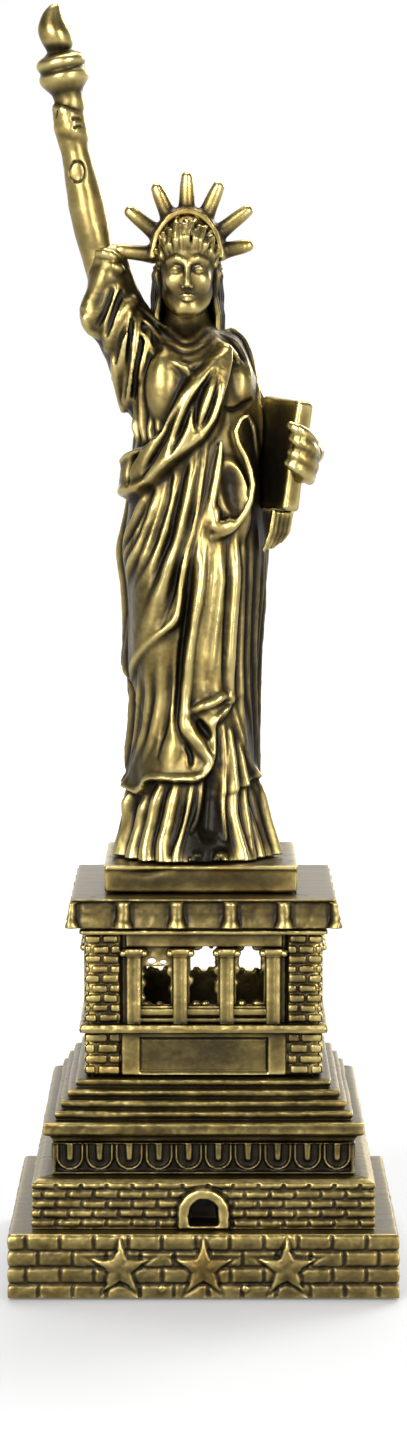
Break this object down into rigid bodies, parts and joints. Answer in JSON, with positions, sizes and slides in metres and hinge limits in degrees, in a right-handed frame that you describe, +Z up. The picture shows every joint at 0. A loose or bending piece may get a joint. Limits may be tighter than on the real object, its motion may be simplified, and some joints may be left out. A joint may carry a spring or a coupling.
{
  "type": "miniature landmark model",
  "caption": "Antique-brass desk souvenir: a robed figure raising a torch on a stepped, brick-faced square pedestal.",
  "frame": {"origin": "centre of the square base, on the surface that the felt pad stands on", "axes": "+Z up, the figure faces -Y, and its raised torch arm is on the -X side"},
  "size_m": [0.0546, 0.0549, 0.18],
  "materials": {
    "antique_brass": "antique plating: dark brown in the recesses, rubbed bright on the high points, clear lacquer",
    "screw_steel": "zinc plated",
    "felt": "pressed wool felt"
  },
  "bodies": {
    "root": {"felt_pad": "felt", "bottom_plate": "antique_brass", "base_tier": "antique_brass", "gate_tier": "antique_brass", "arcade_tier": "antique_brass", "step_tier": "antique_brass", "wall_front": "antique_brass", "wall_right": "antique_brass", "wall_back": "antique_brass", "wall_left": "antique_brass", "cap": "antique_brass", "figure_plinth": "antique_brass", "robed_figure": "antique_brass", "torch_arm": "antique_brass", "torch_flame": "antique_brass", "crown": "antique_brass", "tablet": "antique_brass", "figure_washer": "screw_steel", "figure_screw": "screw_steel", "cap_screw_1": "screw_steel", "cap_screw_2": "screw_steel", "cap_screw_3": "screw_steel", "cap_screw_4": "screw_steel", "base_screw_1": "screw_steel", "base_screw_2": "screw_steel", "base_screw_3": "screw_steel", "base_screw_4": "screw_steel"}
  },
  "joints": []
}
